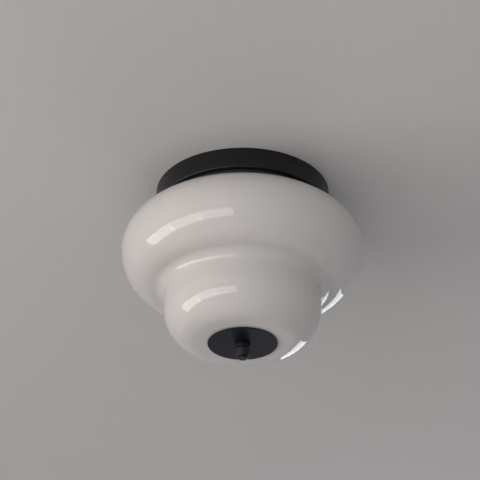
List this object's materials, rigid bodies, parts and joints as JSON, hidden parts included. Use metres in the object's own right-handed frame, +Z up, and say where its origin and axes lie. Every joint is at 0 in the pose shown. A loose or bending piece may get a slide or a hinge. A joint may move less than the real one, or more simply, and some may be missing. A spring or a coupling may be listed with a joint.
{
  "type": "semi-flush ceiling light",
  "caption": "Ceiling light with a black steel pan and a two-tier milk glass shade, held up by a disc and a finial on a central stem, with screw-in lamps inside.",
  "frame": {"origin": "centre of the ceiling crossbar's top face, which lies on the ceiling, midway between its two fixing slots", "axes": "+Z up into the ceiling, along the axis of the lamp; +X along the crossbar; the lamp hangs towards -Z"},
  "size_m": [0.3, 0.3, 0.2315],
  "materials": {
    "opal_glass": "glossy milk-white opal glass",
    "black_paint": "satin black powder coat",
    "zinc_steel": "zinc plated",
    "nickel_brass": "nickel plated brass sheet",
    "brass": "plain brass",
    "black_rubber": "matt rubber",
    "black_thermoplastic": "moulded thermoplastic",
    "white_ceramic": "glazed porcelain",
    "tin_solder": "tinned contact",
    "black_insulator": "black vitreous insulator",
    "white_housing": "moulded white plastic",
    "frosted_diffuser": "frosted white plastic",
    "white_nylon": "natural nylon",
    "brown_insulation": "insulated wire",
    "blue_insulation": "insulated wire",
    "green_yellow_insulation": "insulated wire"
  },
  "bodies": {
    "root": {"canopy_knurled_nuts": "zinc_steel", "canopy_pan": "black_paint", "canopy_washers": "zinc_steel", "ceiling_crossbar": "zinc_steel", "crossbar_studs": "zinc_steel", "earth_lead": "green_yellow_insulation", "earth_ring_terminal": "zinc_steel", "earth_screw": "brass", "holder_nipples": "zinc_steel", "holder_nuts": "zinc_steel", "lampholder_1_cap": "black_thermoplastic", "lampholder_1_contact": "brass", "lampholder_1_insert": "white_ceramic", "lampholder_1_screw_shell": "nickel_brass", "lampholder_1_skirt": "black_thermoplastic", "lampholder_2_cap": "black_thermoplastic", "lampholder_2_contact": "brass", "lampholder_2_insert": "white_ceramic", "lampholder_2_screw_shell": "nickel_brass", "lampholder_2_skirt": "black_thermoplastic", "lampholder_3_cap": "black_thermoplastic", "lampholder_3_contact": "brass", "lampholder_3_insert": "white_ceramic", "lampholder_3_screw_shell": "nickel_brass", "lampholder_3_skirt": "black_thermoplastic", "live_leads": "brown_insulation", "neutral_leads": "blue_insulation", "shade_gasket": "black_rubber", "stem_nuts": "zinc_steel", "stem_rod": "zinc_steel", "stem_washers": "zinc_steel", "stud_lock_nuts": "zinc_steel", "terminal_barrels": "brass", "terminal_block": "white_nylon", "terminal_block_screw": "zinc_steel", "terminal_screws": "zinc_steel"},
    "shade": {"glass_shade": "opal_glass"},
    "pad": {"disc_pad": "black_rubber"},
    "finial": {"finial": "black_paint", "bottom_disc": "black_paint"},
    "bulb_1_tip": {"bulb_1_tip": "tin_solder"},
    "bulb_1": {"bulb_1_insulator": "black_insulator", "bulb_1_cap": "nickel_brass", "bulb_1_housing": "white_housing", "bulb_1_globe": "frosted_diffuser"},
    "bulb_2_tip": {"bulb_2_tip": "tin_solder"},
    "bulb_2": {"bulb_2_insulator": "black_insulator", "bulb_2_cap": "nickel_brass", "bulb_2_housing": "white_housing", "bulb_2_globe": "frosted_diffuser"},
    "bulb_3_tip": {"bulb_3_tip": "tin_solder"},
    "bulb_3": {"bulb_3_insulator": "black_insulator", "bulb_3_cap": "nickel_brass", "bulb_3_housing": "white_housing", "bulb_3_globe": "frosted_diffuser"}
  },
  "joints": [
    {"name": "shade_lower", "type": "slide", "parent": "root", "child": "shade", "axis": [0, 0, -1], "range_m": [0, 0.16]},
    {"name": "pad_drop", "type": "slide", "parent": "shade", "child": "pad", "axis": [0, 0, -1], "range_m": [0, 0.012]},
    {"name": "finial_turn", "type": "hinge", "parent": "pad", "child": "finial", "pos_m": [0, 0, -0.2118], "axis": [0, 0, -1], "range_deg": [0, 4320]},
    {"name": "bulb_1_drop", "type": "slide", "parent": "root", "child": "bulb_1_tip", "axis": [0, 0, -1], "range_m": [0, 0.01452]},
    {"name": "bulb_1_turn", "type": "hinge", "parent": "bulb_1_tip", "child": "bulb_1", "pos_m": [0, 0.045, -0.0871], "axis": [0, 0, -1], "range_deg": [0, 1440]},
    {"name": "bulb_2_drop", "type": "slide", "parent": "root", "child": "bulb_2_tip", "axis": [0, 0, -1], "range_m": [0, 0.01452]},
    {"name": "bulb_2_turn", "type": "hinge", "parent": "bulb_2_tip", "child": "bulb_2", "pos_m": [-0.03897, -0.0225, -0.0871], "axis": [0, 0, -1], "range_deg": [0, 1440]},
    {"name": "bulb_3_drop", "type": "slide", "parent": "root", "child": "bulb_3_tip", "axis": [0, 0, -1], "range_m": [0, 0.01452]},
    {"name": "bulb_3_turn", "type": "hinge", "parent": "bulb_3_tip", "child": "bulb_3", "pos_m": [0.03897, -0.0225, -0.0871], "axis": [0, 0, -1], "range_deg": [0, 1440]}
  ],
  "couplings": [
    {"joint": "finial_turn", "follows": "pad_drop", "rad_per_m": 6283.2},
    {"joint": "bulb_1_turn", "follows": "bulb_1_drop", "rad_per_m": 1731.4},
    {"joint": "bulb_2_turn", "follows": "bulb_2_drop", "rad_per_m": 1731.4},
    {"joint": "bulb_3_turn", "follows": "bulb_3_drop", "rad_per_m": 1731.4}
  ]
}
